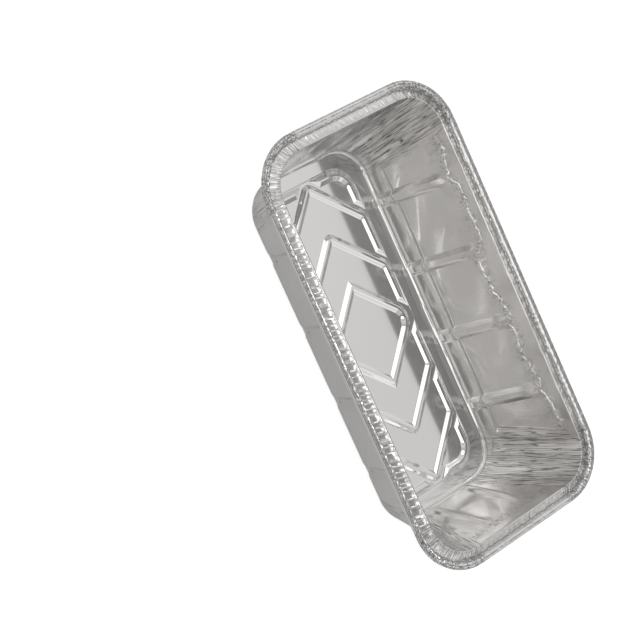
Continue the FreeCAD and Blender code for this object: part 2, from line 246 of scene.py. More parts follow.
@dataclass
class PanSizes:
    """Sizes of the pan, in metres. The first three come from the frame."""

    half_length: float
    half_width: float
    height: float
    foil: float = 0.00009
    # The rim, inwards from its outer edge and down from its top.
    rim_radius: float = 0.027
    roll_radius: float = 0.00185
    crease_inset: float = 0.0043
    crease_drop: float = 0.0025
    lip_inset: float = 0.0088
    lip_drop: float = 0.0003
    # The floor, inwards from the rim's outer edge, and its raised panel, inwards from the floor's.
    end_overhang: float = 0.020
    side_overhang: float = 0.0227
    floor_radius: float = 0.0164
    fold_radius: float = 0.0016
    panel_end_margin: float = 0.0074
    panel_side_margin: float = 0.0076
    # The band and the ledge round the long walls' foot, upwards and outwards from the floor.
    shoulder_width: float = 0.0007
    band_lean: float = 0.0026
    ledge_height: float = 0.0098
    ledge_width: float = 0.0013
    ledge_bow: float = 0.0008
    # The ribs: their places along a wall, half widths at base and crest, and depth.
    side_ribs: tuple[float, ...] = (-0.0559, -0.0186, 0.0186, 0.0559)
    side_rib_halves: Pair = (0.0036, 0.0013)
    side_rib_depth: float = 0.0022
    end_ribs: tuple[float, ...] = (-0.0117, 0.0117)
    end_rib_halves: Pair = (0.0026, 0.0008)
    end_rib_depth: float = 0.0009

    def rim(self) -> Outline:
        """Return the outline over the rolled edge."""
        return Outline(self.half_length, self.half_width, self.rim_radius, self.height)

    def floor(self) -> Outline:
        """Return the outline of the floor, at the outside of its fold."""
        length, width = self.half_length - self.end_overhang, self.half_width - self.side_overhang
        return Outline(length, width, self.floor_radius, self.foil)

    def shoulder(self) -> Outline:
        """Return the outline of the shoulder, where the walls start."""
        return self.floor().grown(self.shoulder_width, self.foil + self.fold_radius)

    def band_top(self) -> Outline:
        """Return the outline at the top of the band, inside the ledge."""
        return self.shoulder().grown(self.band_lean, self.ledge_height)

    def foot(self) -> Outline:
        """Return the outline at the long walls' foot, outside the ledge."""
        return self.band_top().grown(self.ledge_width, self.ledge_height)

    def lip(self) -> Outline:
        """Return the outline of the lip, where the wall turns into the flange."""
        return self.rim().grown(-self.lip_inset, self.height - self.lip_drop)

    def crease(self) -> Outline:
        """Return the outline of the crease between flange and roll."""
        return self.rim().grown(-self.crease_inset, self.height - self.crease_drop)

    def ribs(self, number: int) -> tuple[tuple[float, ...], Pair, float]:
        """Return a side's rib places, their half widths at base and crest, and their depth."""
        end = self.end_ribs, self.end_rib_halves, self.end_rib_depth
        return end if number % 2 else (self.side_ribs, self.side_rib_halves, self.side_rib_depth)


@dataclass
class Pleating:
    """Where the flange's crimps fall, and the columns that carry them."""

    # Width of a crimp and its flat, and the share of it that is flat, on a side and in a corner.
    side_pitch: float = 0.0033
    side_flats: Pair = (0.58, 0.8)
    corner_pitch: float = 0.00165
    corner_flats: Pair = (0.3, 0.55)
    unevenness: float = 0.55
    # Lean of the crimps on each side, how far one may be from it, and their height as a share.
    lean: tuple[float, ...] = (-0.0003, 0.0004, -0.0011, 0.0005)
    slant: float = 0.00035
    heights: Pair = (0.35, 1.0)
    # Height and slant in a corner, as shares of those on a side.
    corner_crimp: float = 0.6
    corner_slant: float = 0.3
    # Size of the gather beside a crimp and under a flat.
    folds: Pair = (0.5, 1.0)
    ripples: Pair = (0.1, 0.8)
    # Share of a side's end, from which every column lasts.
    gathered: float = 0.72
    seed: int = 11

    def columns(self, sizes: PanSizes) -> list[Column]:
        """Draw the columns of the whole ring.

        Args:
            sizes: the pan's sizes.

        Returns:
            The columns in order, anticlockwise.
        """
        dice = random.Random(self.seed)
        lip = sizes.lip()
        arc = lip.radius * math.pi / 2
        columns: list[Column] = []
        for number in range(4):
            folds = self.crimps(dice, arc, self.corner_pitch, self.corner_flats)
            for share, crimp, slant, pinch, _ in folds:
                crimp, slant = crimp * self.corner_crimp, slant * self.corner_slant
                columns.append(Column(Stretch.CORNER, number, 0.0, share, crimp, slant, pinch, True))
            columns += self.side(dice, sizes, number, lip.straight(number))
        return columns

    def side(self, dice: random.Random, sizes: PanSizes, number: int, half: float) -> list[Column]:
        """Draw the columns of a side, with some on the edges of its ribs.

        Args:
            dice: the random source.
            sizes: the pan's sizes.
            number: which side.
            half: half its straight part at the lip, in metres.

        Returns:
            Its columns, from its first to just short of the next corner's first.
        """
        ribs, (base, crest), _ = sizes.ribs(number)
        marks = [rib + offset for rib in ribs for offset in (-base, -crest, crest, base)]
        stops = [-half] + marks + [half]
        columns = []
        for start, end in zip(stops, stops[1:]):
            folds = self.crimps(dice, end - start, self.side_pitch, self.side_flats)
            for share, crimp, slant, pinch, lasting in folds:
                along = mix(start, end, share)
                mark = min(max(along, marks[0]), marks[-1])
                beyond = (abs(along) - abs(mark)) / (half - abs(mark))
                slant = (self.lean[number] + slant) * (1 - beyond)
                lasting = lasting or beyond > self.gathered
                columns.append(Column(Stretch.SIDE, number, mark, beyond, crimp, slant, pinch, lasting))
        return columns

    def crimps(
        self, dice: random.Random, length: float, pitch: float, flats: Pair
    ) -> list[tuple[float, float, float, float, bool]]:
        """Draw the crimps of one run, four columns to a crimp.

        Args:
            dice: the random source.
            length: length of the run, in metres.
            pitch: usual width of a crimp and its flat.
            flats: least and greatest share of it that is flat.

        Returns:
            The share of the run, crimp, slant, pinch and whether it lasts, for each column.
        """
        count = max(1, round(length / pitch))
        widths = [1 + dice.uniform(-self.unevenness, self.unevenness) for _ in range(count)]
        total = sum(widths)
        found = []
        start = 0.0
        for width in widths:
            size = dice.choice((1, 1, 1, -1)) * dice.uniform(*self.heights)
            slant = dice.uniform(-self.slant, self.slant)
            flat = dice.uniform(*flats)
            fold, ripple = dice.uniform(*self.folds), dice.uniform(*self.ripples)
            offsets = (0.0, flat / 2, flat, (1 + flat) / 2)
            rises, pinches = (0.0, 0.0, 0.0, size), (-fold, ripple, -ripple, fold)
            for index, (offset, rise, pinch) in enumerate(zip(offsets, rises, pinches)):
                found.append(((start + offset * width) / total, rise, slant, pinch, index % 2 == 0))
            start += width
        return found


@dataclass
class Row:
    """One ring of the sheet.

    Args:
        points: where its vertices go.
        gathered: how strongly the foil is gathered at each of them.
        along: how far the ring lies along the section, in metres.
        crumpled: how badly the foil is crumpled there.
    """

    points: list[Vector]
    gathered: list[float]
    along: float
    crumpled: float = 0.0


class Sheet:
    """A sheet of foil that grows one ring at a time, each ring with a vertex on every column."""

    def __init__(self, columns: list[Column], lip: Outline) -> None:
        """Start an empty sheet.

        Args:
            columns: its columns.
            lip: the outline that the distances round the pan are measured on.
        """
        self.mesh = bmesh.new()
        self.laid = self.mesh.verts.layers.float_vector.new(LAID)
        self.crumpled = self.mesh.verts.layers.float.new(CRUMPLED)
        self.columns = columns
        self.ring: list[bmesh.types.BMVert] = []
        self.around = [0.0]
        places = [lip.place(column)[0] for column in columns]
        for before, after in zip(places, places[1:]):
            self.around.append(self.around[-1] + (after - before).length)

    def edges(self) -> list[bmesh.types.BMEdge]:
        """Return the edges between neighbours of the last ring."""
        return [self.mesh.edges.get(pair) for pair in zip(self.ring, self.ring[1:] + self.ring[:1])]

    def extruded(self) -> list[bmesh.types.BMVert]:
        """Extrude the last ring.

        Returns:
            The new vertices, in the same order.
        """
        made = set(bmesh.ops.extrude_edge_only(self.mesh, edges=self.edges())["geom"])
        ring = []
        for vertex in self.ring:
            others = (edge.other_vert(vertex) for edge in vertex.link_edges)
            ring.append(next(other for other in others if other in made))
        return ring

    def grow(self, row: Row) -> None:
        """Add a ring and note how the foil lies there.

        Args:
            row: where it goes.
        """
        if self.ring:
            self.ring = self.extruded()
        else:
            made = bmesh.ops.create_circle(self.mesh, segments=len(row.points), radius=1.0)
            self.ring = list(made["verts"])
        for vertex, point, gathered, around in zip(self.ring, row.points, row.gathered, self.around):
            vertex.co = point
            vertex[self.laid] = (around, row.along, gathered)
            vertex[self.crumpled] = row.crumpled * (1 - gathered)

    def thin_out(self) -> None:
        """Weld the columns that don't last into their neighbours, and go on without them."""
        targets = {}
        kept = self.ring[0]
        for vertex, column in zip(self.ring, self.columns):
            if column.lasting:
                kept = vertex
            else:
                targets[vertex] = kept
        lasting = [column.lasting for column in self.columns]
        self.ring = list(compress(self.ring, lasting))
        self.around = list(compress(self.around, lasting))
        self.columns = list(compress(self.columns, lasting))
        bmesh.ops.weld_verts(self.mesh, targetmap=targets)

    def outline(self, corners: list[Triple], height: float) -> bmesh.types.BMFace:
        """Make a flat face from a few corners and round them.

        Args:
            corners: anticlockwise, each as x, y and radius in metres.
            height: the height that the face lies at.

        Returns:
            The face.
        """
        vertices = [self.mesh.verts.new((x, y, height)) for x, y, _ in corners]
        face = self.mesh.faces.new(vertices)
        for index, (vertex, (_, _, radius)) in enumerate(zip(vertices, corners)):
            if radius:
                here = Vector(corners[index][:2])
                back = Vector(corners[index - 1][:2]) - here
                onward = Vector(corners[(index + 1) % len(corners)][:2]) - here
                half = back.angle(onward) / 2
                made = bmesh.ops.bevel(
                    self.mesh,
                    geom=[vertex],
                    offset=radius / math.tan(half),
                    offset_type="OFFSET",
                    affect="VERTICES",
                    segments=max(3, round((math.pi - 2 * half) / ARC_STEP)),
                    profile=0.5,
                    material=-1,
                )
                face = made["verts"][0].link_faces[0]
        return face

    def press(self, faces: list[bmesh.types.BMFace], steps: list[Pair]) -> list[bmesh.types.BMEdge]:
        """Press a region up through a row of small insets.

        Args:
            faces: the region, which ends up as its own crest.
            steps: how far each inset goes inwards and upwards, in metres.

        Returns:
            The open edges round its foot.
        """
        foot = []
        for run, rise in steps:
            made = bmesh.ops.inset_region(
                self.mesh,
                faces=faces,
                thickness=run,
                depth=rise,
                use_even_offset=True,
                use_boundary=True,
            )["faces"]
            foot = foot or [edge for face in made for edge in face.edges if edge.is_boundary]
        return foot

    def fill(self, loops: list[bmesh.types.BMEdge]) -> list[bmesh.types.BMFace]:
        """Fill between loops of edges with flat faces, and return them."""
        made = bmesh.ops.triangle_fill(self.mesh, edges=loops, use_beauty=True, normal=UP)["geom"]
        return [item for item in made if isinstance(item, bmesh.types.BMFace)]


@dataclass
class FloorPattern:
    """The raised panel in the floor and the beads pressed into it, in metres."""

    # The panel at its foot.
    half_length: float
    half_width: float
    radius: float = 0.0125
    rise: float = 0.0004
    step: float = 0.0007
    # A bead's section, its distance from the next bead and from the panel's edge.
    bead_width: float = 0.0052
    bead_crest: float = 0.0009
    bead_height: float = 0.0013
    bead_gap: float = 0.0010
    bead_margin: float = 0.0009
    # The chevrons, whose arms lie at this angle to the pan's length.
    arm_angle: float = math.radians(44.0)
    chevrons: int = 2
    tip_margin: float = 0.0037
    tip_radius: float = 0.0020
    bend_radius: float = 0.0034
    # The diamond in the middle.
    diamond_margin: float = 0.0026
    diamond_radius: float = 0.0085

    def diamond_tip(self) -> float:
        """Return how far the diamond's tips stand from the middle."""
        return (self.half_width - self.diamond_margin) / math.tan(self.arm_angle)

    def pitch(self) -> float:
        """Return the distance from one tip to the next."""
        return (self.half_length - self.tip_margin - self.diamond_tip()) / self.chevrons

    def arm(self, tip: float, offset: float, y: float) -> float:
        """Return where an arm's edge, a distance outside its centre line, crosses a height y."""
        return -tip - offset / math.sin(self.arm_angle) + y / math.tan(self.arm_angle)

    def panel(self) -> list[Triple]:
        """Return the panel's corners at its foot."""
        x, y, radius = self.half_length, self.half_width, self.radius
        return [(x, y, radius), (-x, y, radius), (-x, -y, radius), (x, -y, radius)]

    def chevron(self, tip: float) -> list[Triple]:
        """Lay out a chevron that points to -X, with its legs cut short.

        Args:
            tip: how far its tip stands from the middle.

        Returns:
            Its corners.
        """
        half = self.bead_width / 2
        leg = self.half_width - self.bead_margin - half
        cut = half + self.bead_gap
        following = tip - self.pitch()
        upper = [
            (self.arm(tip, -half, leg - half), leg - half, self.bend_radius - half),
            (self.arm(following, cut, leg - half), leg - half, 0.0),
            (self.arm(following, cut, leg + half), leg + half, 0.0),
            (self.arm(tip, half, leg + half), leg + half, self.bend_radius + half),
        ]
        lower = [(x, -y, radius) for x, y, radius in reversed(upper)]
        nook = (self.arm(tip, -half, 0.0), 0.0, 0.0)
        apex = (self.arm(tip, half, 0.0), 0.0, self.tip_radius + half)
        return [nook] + upper + [apex] + lower

    def corner_bead(self) -> list[Triple]:
        """Lay out the bead round the panel's corner at -X +Y.

        Returns:
            Its corners.
        """
        tip = self.diamond_tip() + self.chevrons * self.pitch()
        cut = self.bead_width / 2 + self.bead_gap
        runs = []
        for margin in (self.bead_margin, self.bead_margin + self.bead_width):
            x, y = self.half_length - margin, self.half_width - margin
            end = (self.arm(tip, cut, y), y, 0.0)
            foot = (-x, (-x - self.arm(tip, cut, 0.0)) * math.tan(self.arm_angle), 0.0)
            runs.append([end, (-x, y, self.radius - margin), foot])
        return runs[0] + runs[1][::-1]

    def diamond(self, offset: float) -> list[Triple]:
        """Lay out the diamond.

        Args:
            offset: how far outside its centre line.

        Returns:
            Its corners.
        """
        x = self.diamond_tip() + offset / math.sin(self.arm_angle)
        y = self.diamond_tip() * math.tan(self.arm_angle) + offset / math.cos(self.arm_angle)
        radius = self.diamond_radius + offset
        return [(x, 0.0, 0.0), (0.0, y, radius), (-x, 0.0, 0.0), (0.0, -y, radius)]

    def beads(self) -> list[list[Triple]]:
        """Lay out every bead but the diamond.

        Returns:
            The corners of each.
        """
        outlines = []
        for x_sign in (1, -1):
            for number in range(1, self.chevrons + 1):
                chevron = self.chevron(self.diamond_tip() + number * self.pitch())
                outlines.append(self.mirrored(chevron, x_sign, 1))
            for y_sign in (1, -1):
                outlines.append(self.mirrored(self.corner_bead(), x_sign, y_sign))
        return outlines

    @staticmethod
    def mirrored(corners: list[Triple], x_sign: int, y_sign: int) -> list[Triple]:
        """Return corners mirrored across the middle, still anticlockwise."""
        moved = [(x * x_sign, y * y_sign, radius) for x, y, radius in corners]
        return moved if x_sign * y_sign > 0 else moved[::-1]

    @staticmethod
    def slope(run: float, rise: float, rows: int, roundness: float) -> list[Pair]:
        """Cut a rounded slope into insets.

        Args:
            run: how far it goes inwards.
            rise: how far it goes up.
            rows: how many insets it takes.
            roundness: how softly it turns at its foot and its crest, where 0 is straight.

        Returns:
            The run and rise of each inset.
        """
        levels = [mix(row / rows, smooth(row / rows), roundness) for row in range(rows + 1)]
        return [(run / rows, rise * (high - low)) for low, high in zip(levels, levels[1:])]

    def lay(self, sheet: Sheet, height: float) -> None:
        """Build the floor inside the sheet's last ring.

        Args:
            sheet: the sheet.
            height: the height of the floor's food side.
        """
        panel = sheet.outline(self.panel(), height)
        foot = sheet.press([panel], self.slope(self.step, self.rise, rows=3, roundness=0.8))
        loops = list(panel.edges)
        level = height + self.rise
        sheet.mesh.faces.remove(panel)
        run = (self.bead_width - self.bead_crest) / 2
        steps = self.slope(run, self.bead_height, rows=5, roundness=0.4)
        for corners in self.beads():
            loops += sheet.press([sheet.outline(corners, level)], steps)
        rims = []
        for side in (1, -1):
            face = sheet.outline(self.diamond(side * self.bead_width / 2), level)
            rims.append(list(face.edges))
            if side > 0:
                sheet.mesh.faces.remove(face)
        loops += sheet.press(sheet.fill(rims[0] + rims[1]), steps)
        sheet.fill(loops)
        sheet.fill(sheet.edges() + foot)


@dataclass
class WallRelief:
    """What is pressed into the walls: ribs, gathers, creases and dents.

    Args:
        sizes: the pan's sizes.
        folds: the creases and dents of each side, numbered as the sides are.
        line: the ragged crease under the collar, as places along a long side and heights.
    """

    sizes: PanSizes
    folds: dict[int, list[Crease | Dent]]
    line: tuple[Pair, ...]
    # The step under the ragged crease, its raggedness, and how soon both start from the corner.
    line_step: float = 0.00028
    step_fade: float = 1.6
    ragged: Waver = Waver(0.0014, 420.0, 5.0, 0.0)
    coarse: Waver = Waver(0.0012, 150.0, 5.0, 7.0)
    line_fade: float = 2.0
    # How softly a rib turns, and the share of the way to the corner over which the ledge ends.
    rib_roundness: float = 0.6
    ledge_run: float = 0.18
    # The gathers: usual depth, reach along a side from the corner, and how soon they are full.
    gather_depth: float = 0.00007
    spread: float = 0.00375
    spread_wave: Waver = Waver(0.003, 190.0, 1.0, 3.0)
    gather_rise: float = 1.4
    # Unevenness round the pan and with the height: sideways, of the depth, and of the wall.
    drift: Waver = Waver(0.0006, 170.0, 75.0, 1.0)
    ripple: Waver = Waver(1.8, 500.0, 70.0, 5.0)
    lumps: Waver = Waver(0.00007, 230.0, 40.0, 9.0)
    sway: Waver = Waver(0.00007, 50.0, 60.0, 2.0)

    def rib(self, column: Column) -> float:
        """Work out how far a rib stands in.

        Args:
            column: the column.

        Returns:
            The distance, in metres.
        """
        if column.kind is Stretch.CORNER or column.share:
            return 0.0
        ribs, (base, crest), depth = self.sizes.ribs(column.number)
        nearest = min(abs(column.mark - rib) for rib in ribs)
        rise = held((base - nearest) / (base - crest))
        return depth * mix(rise, smooth(rise), self.rib_roundness)

    def gathered(self, column: Column, outline: Outline) -> float:
        """Work out how strongly the wall is gathered.

        Args:
            column: the column.
            outline: the outline that it crosses.

        Returns:
            The strength, from 0 to 1.
        """
        if column.kind is Stretch.CORNER:
            return 1.0
        if not column.share:
            return 0.0
        room = (1 - column.share) * (outline.straight(column.number) - abs(column.mark))
        edge = self.spread + self.spread_wave.at(outline.height, column.number)
        return smooth(self.gather_rise * (1 - room / edge))

    def ledge(self, column: Column) -> float:
        """Return how fully the band and ledge stand at a column, from 0 to 1."""
        return smooth((1 - column.share) / self.ledge_run) if column.on_long_side() else 0.0

    def bow(self, column: Column) -> float:
        """Work out how far the ledge arches up between the ribs.

        Args:
            column: the column.

        Returns:
            The height, in metres.
        """
        ribs = self.sizes.side_ribs
        share = ((column.mark - ribs[0]) / (ribs[1] - ribs[0])) % 1.0
        return self.sizes.ledge_bow * (1 - (2 * share - 1) ** 2) * self.ledge(column)

    def crease_height(self, column: Column) -> float:
        """Work out the height of the ragged crease, which runs level off the long sides.

        Args:
            column: the column.

        Returns:
            The height, in metres.
        """
        if not column.on_long_side():
            return mix(self.line[0][1], self.line[-1][1], 0.5)
        along = self.sizes.lip().place(column)[0].x
        plain = self.line[0][1]
        for (x0, z0), (x1, z1) in zip(self.line, self.line[1:]):
            if x0 <= along <= x1:
                plain = mix(z0, z1, (along - x0) / (x1 - x0))
        uneven = self.ragged.at(along, column.number) + self.coarse.at(along, column.number)
        return plain + uneven * smooth((1 - column.share) * self.line_fade)

    def step_in(self, column: Column) -> float:
        """Return how far the wall steps in under the ragged crease at a column."""
        return self.line_step * smooth((1 - column.share) * self.step_fade) * column.on_long_side()

    def at(self, column: Column, around: float, point: Vector, gathered: float) -> float:
        """Work out how far inwards gathers and folds move the wall.

        Args:
            column: the column that the point is on.
            around: the column's distance round the rim, in metres.
            point: the plain point.
            gathered: how strongly the foil is gathered there.

        Returns:
            The distance, in metres.
        """
        gather = self.gather_depth * column.pinch * (1 + self.ripple.at(around, point.z))
        inwards = gathered * (gather + self.lumps.at(around, point.z))
        if column.kind is Stretch.SIDE:
            along = point.y if column.number % 2 else point.x
            pressed = sum(fold.at(along, point.z) for fold in self.folds[column.number])
            inwards += (1 - gathered) * (pressed + self.sway.at(around, point.z))
        return inwards


@dataclass
class LoafPan:
    """The whole pan as one sheet of foil.

    Args:
        sizes: the pan's sizes.
        pattern: the floor's panel and beads.
        pleating: the crimps of the flange.
        relief: what is pressed into the walls.
    """

    sizes: PanSizes
    pattern: FloorPattern
    pleating: Pleating
    relief: WallRelief
    # Rows down past the ragged crease: share of the way, place in its step, share of the step.
    collar_section: tuple[Triple, ...] = (
        (0.12, 0.0, 0.0), (0.45, 0.0, 0.0), (1.0, 1.0, 0.0), (1.0, -1.0, 1.0),
    )
    crease_half: float = 0.0002
    collar_rib: float = 0.15
    lip_gather: float = 0.6
    # Rows down the wall, where they end off and above the ledge, and what fades along them.
    wall_rows: int = 23
    wall_end: float = 0.0106
    ledge_gap: float = 0.0002
    rib_rise: float = 3.5
    rib_top: float = 0.65
    step_fade: float = 1.6
    crumple_fade: float = 5.0
    # Rows over the ledge: share of the way inwards, drop, and height where there is no ledge.
    ledge_section: tuple[Triple, ...] = (
        (0.2, 0.0, 0.0099), (0.8, 0.0001, 0.0093), (1.0, 0.0005, 0.0086),
    )
    ledge_gather: float = 0.95
    # Rows down the band: share of the way and of the ribs' depth. Then the rows of the fold.
    band_section: tuple[Pair, ...] = ((0.3, 1.0), (0.62, 0.95), (0.88, 0.7), (1.0, 0.3))
    band_gather: Pair = (0.9, 0.5)
    fold_rows: int = 5
    # Rows over the flange: share of its width, of the lip's height and of the crimps' height.
    flange_section: tuple[Triple, ...] = (
        (0.014, 0.45, 0.0), (0.04, 0.82, 0.0), (0.075, 1.0, 0.03), (0.12, 0.98, 0.06),
        (0.18, 0.7, 0.2), (0.26, 0.3, 0.9), (0.55, 0.0, 1.0), (0.84, 0.0, 0.9), (1.0, 0.0, 0.35),
    )
    crimp_height: float = 0.00042
    # The gathers' share at the lip and its loss over the flange, and how creased it shows.
    flange_gather: Pair = (1.4, 6.0)
    flange_creased: Pair = (0.15, 0.7)
    # Rows round the roll: angle in degrees and share of its radius.
    roll_section: tuple[Pair, ...] = (
        (200.5, 1.0), (172.0, 1.0), (146.0, 1.0), (121.0, 1.0), (99.0, 0.99), (88.0, 0.89), (77.0, 0.99),
        (52.0, 1.0), (41.0, 0.9), (30.0, 1.0), (8.0, 1.0), (-25.0, 1.0), (-65.0, 1.0), (-110.0, 1.0),
    )
    # How far a crimp and a gather squeeze the roll, its unevenness, and its rows' place and pitch.
    roll_squeeze: Pair = (0.06, 0.05)
    roll_dimple: Waver = Waver(0.05, 260.0, 0.7, 4.0)
    roll_along: Pair = (-0.005, -0.0006)
    # How level a face is shown flat, and from which angle an edge is shown sharp.
    flat_from: float = 0.99999
    floor_top: float = 0.0019
    floor_sharp: float = math.radians(18.0)
    flange_from: float = 0.0011
    flange_sharp: float = math.radians(12.0)
    wall_sharp: float = math.radians(27.0)

    def __post_init__(self) -> None:
        """Start the sheet with the columns that the pleating draws."""
        self.sheet = Sheet(self.pleating.columns(self.sizes), self.sizes.lip())

    def build(self) -> bpy.types.Object:
        """Build the sheet and give it its gauge.

        Returns:
            The finished piece.
        """
        self.grow([self.sizes.lip()] * len(self.sheet.columns), 0.0, self.lip_gather)
        lip = self.sheet.ring
        self.flange_and_roll()
        self.sheet.ring = lip
        self.collar_and_wall()
        self.ledge_and_band()
        self.fold()
        self.pattern.lay(self.sheet, self.sizes.foil)
        return self.finish()

    def grow(
        self, outlines: list[Outline], rib: float, gather: float, step: float = 0.0, crumpled: float = 0.0
    ) -> None:
        """Grow the sheet by one row of the wall.

        Args:
            outlines: the plain outline at each of its columns.
            rib: share of the ribs' depth here.
            gather: share of the gathers' depth here.
            step: share of the step under the ragged crease here.
            crumpled: how badly the foil is crumpled here.
        """
        relief = self.relief
        points, strengths = [], []
        for column, outline, around in zip(self.sheet.columns, outlines, self.sheet.around):
            point, outward = outline.place(column)
            strength = relief.gathered(column, outline) * gather
            inwards = rib * relief.rib(column) + relief.at(column, around, point, strength)
            inwards += step * relief.step_in(column)
            point += UP.cross(outward) * (strength * relief.drift.at(around, point.z))
            points.append(point - outward * inwards)
            strengths.append(strength)
        self.sheet.grow(Row(points, strengths, self.sizes.height - outlines[0].height, crumpled))

    def between(self, column: Column, stepped: Outline, level: float) -> Outline:
        """Return the outline at a column: stepped on a long side, plain at this level elsewhere."""
        plain = self.sizes.shoulder().at(self.sizes.lip(), level)
        return plain.towards(stepped, self.relief.ledge(column))

    def on_wall(self, column: Column, level: float) -> Outline:
        """Return the outline at a column, at a level of the wall."""
        return self.between(column, self.sizes.foot().at(self.sizes.lip(), level), level)

    def collar_and_wall(self) -> None:
        """Grow the sheet from the lip down to the ledge."""
        sizes, relief = self.sizes, self.relief
        for share, place, step in self.collar_section:
            outlines = []
            for column in self.sheet.columns:
                end = relief.crease_height(column) + place * self.crease_half
                outlines.append(self.on_wall(column, mix(sizes.lip().height, end, share)))
            self.grow(outlines, self.collar_rib * step, 1.0, step, smooth(2 * share - 1))
        self.sheet.thin_out()
        for row in range(1, self.wall_rows + 1):
            share = row / self.wall_rows
            outlines = []
            for column in self.sheet.columns:
                start = relief.crease_height(column) - self.crease_half
                stepped = sizes.ledge_height + self.ledge_gap + relief.bow(column)
                end = mix(self.wall_end, stepped, relief.ledge(column))
                outlines.append(self.on_wall(column, mix(start, end, share)))
            rib = smooth(share * self.rib_rise) * mix(self.rib_top, 1.0, share)
            step, crumpled = 1 - smooth(share * self.step_fade), 1 - smooth(share * self.crumple_fade)
            self.grow(outlines, rib, 1.0, step, crumpled)

    def ledge_and_band(self) -> None:
        """Grow the sheet over the ledge and down the band to the shoulder."""
        sizes = self.sizes
        foot, band_top, shoulder = sizes.foot(), sizes.band_top(), sizes.shoulder()
        bottom = self.ledge_section[-1][2]
        for share, drop, level in self.ledge_section:
            outlines = []
            for column in self.sheet.columns:
                height = sizes.ledge_height + self.relief.bow(column) - drop
                stepped = foot.towards(band_top, share).grown(0.0, height)
                outlines.append(self.between(column, stepped, level))
            self.grow(outlines, 1.0, self.ledge_gather)
        for share, rib in self.band_section:
            stepped = band_top.towards(shoulder, share)
            height = mix(bottom, shoulder.height, share)
            outlines = [self.between(column, stepped, height) for column in self.sheet.columns]
            self.grow(outlines, rib, mix(*self.band_gather, share))

    def fold(self) -> None:
        """Grow the sheet round the fold into the floor."""
        sizes = self.sizes
        for row in range(self.fold_rows + 1):
            angle = math.radians(90 * (1 - row / self.fold_rows))
            out = sizes.fold_radius * (math.sin(angle) - 1)
            outline = sizes.floor().grown(out, sizes.foil + sizes.fold_radius * (1 - math.cos(angle)))
            self.grow([outline] * len(self.sheet.columns), 0.0, 0.0)

    def flange_and_roll(self) -> None:
        """Grow the sheet from the lip over the flange and round the roll."""
        sizes, relief = self.sizes, self.relief
        at_lip, loss = self.flange_gather
        for across, swell, lift in self.flange_section:
            outline = sizes.lip().towards(sizes.crease(), across)
            gather = relief.gather_depth * max(0.0, at_lip - loss * across)
            points, strengths = [], []
            for column in self.sheet.columns:
                point, outward = outline.place(column)
                strength = relief.gathered(column, outline)
                point += UP.cross(outward) * (column.slant * across)
                point -= outward * (gather * strength * column.pinch)
                rise = sizes.lip_drop * swell + self.crimp_height * column.crimp * lift
                points.append(point + UP * rise)
                strengths.append(mix(*self.flange_creased, strength))
            self.sheet.grow(Row(points, strengths, -across * sizes.lip_inset / 2))
        for number, (angle, share) in enumerate(self.roll_section):
            self.sheet.grow(self.roll_row(math.radians(angle), share, number))

    def roll_row(self, turn: float, share: float, number: int) -> Row:
        """Work out one row of the roll.

        Args:
            turn: where it is round the roll's section, as an angle up from outwards.
            share: its share of the roll's radius.
            number: which row of the roll it is.

        Returns:
            The row.
        """
        sizes = self.sizes
        crimp, pinch = self.roll_squeeze
        points, strengths = [], []
        for column, around in zip(self.sheet.columns, self.sheet.around):
            strength = self.relief.gathered(column, sizes.rim())
            squeezed = crimp * abs(column.crimp) + pinch * strength * abs(column.pinch)
            squeezed += abs(self.roll_dimple.at(around, number))
            radius = sizes.roll_radius * (share - squeezed)
            out = radius * math.cos(turn) - sizes.roll_radius
            rise = radius * math.sin(turn) - sizes.roll_radius
            point, outward = sizes.rim().grown(out, sizes.height + rise).place(column)
            points.append(point + UP.cross(outward) * column.slant)
            strengths.append(strength)
        first, pitch = self.roll_along
        return Row(points, strengths, first + pitch * number)

    def sharp_from(self, edge: bmesh.types.BMEdge) -> float:
        """Choose the angle from which an edge is shown sharp: least on the beads and the crimps.

        Args:
            edge: the edge.

        Returns:
            The angle, in radians.
        """
        if all(vertex.co.z < self.floor_top for vertex in edge.verts):
            return self.floor_sharp
        flange_end = -self.sizes.lip_inset / 2
        if all(flange_end <= vertex[self.sheet.laid].y < -self.flange_from for vertex in edge.verts):
            return self.flange_sharp
        return self.wall_sharp

    def finish(self) -> bpy.types.Object:
        """Turn the sheet into an object with the foil's gauge.

        Returns:
            The object.
        """
        mesh = self.sheet.mesh
        bmesh.ops.recalc_face_normals(mesh, faces=mesh.faces)
        middle = min(mesh.faces, key=lambda face: face.calc_center_median().length)
        if middle.normal.z < 0:
            bmesh.ops.reverse_faces(mesh, faces=mesh.faces)
        for edge in mesh.edges:
            edge.smooth = edge.calc_face_angle(0.0) < self.sharp_from(edge)
        for face in mesh.faces:
            face.smooth = abs(face.normal.z) < self.flat_from
        piece = shown_mesh("foil_pan", mesh)
        gauge = piece.modifiers.new("gauge", "SOLIDIFY")
        gauge.thickness = self.sizes.foil
        gauge.offset = -1.0
        return piece


def shown(name: str, data: bpy.types.ID) -> bpy.types.Object:
    """Make an object of some data and put it in the scene.

    Args:
        name: its name.
        data: a mesh or a camera.

    Returns:
        The object.
    """
    made = bpy.data.objects.new(name, data)
    bpy.context.scene.collection.objects.link(made)
    return made


def shown_mesh(name: str, mesh: bmesh.types.BMesh) -> bpy.types.Object:
    """Make an object of a built mesh, which is freed, and put it in the scene.

    Args:
        name: its name.
        mesh: the mesh.

    Returns:
        The object.
    """
    data = bpy.data.meshes.new(name)
    mesh.to_mesh(data)
    mesh.free()
    return shown(name, data)


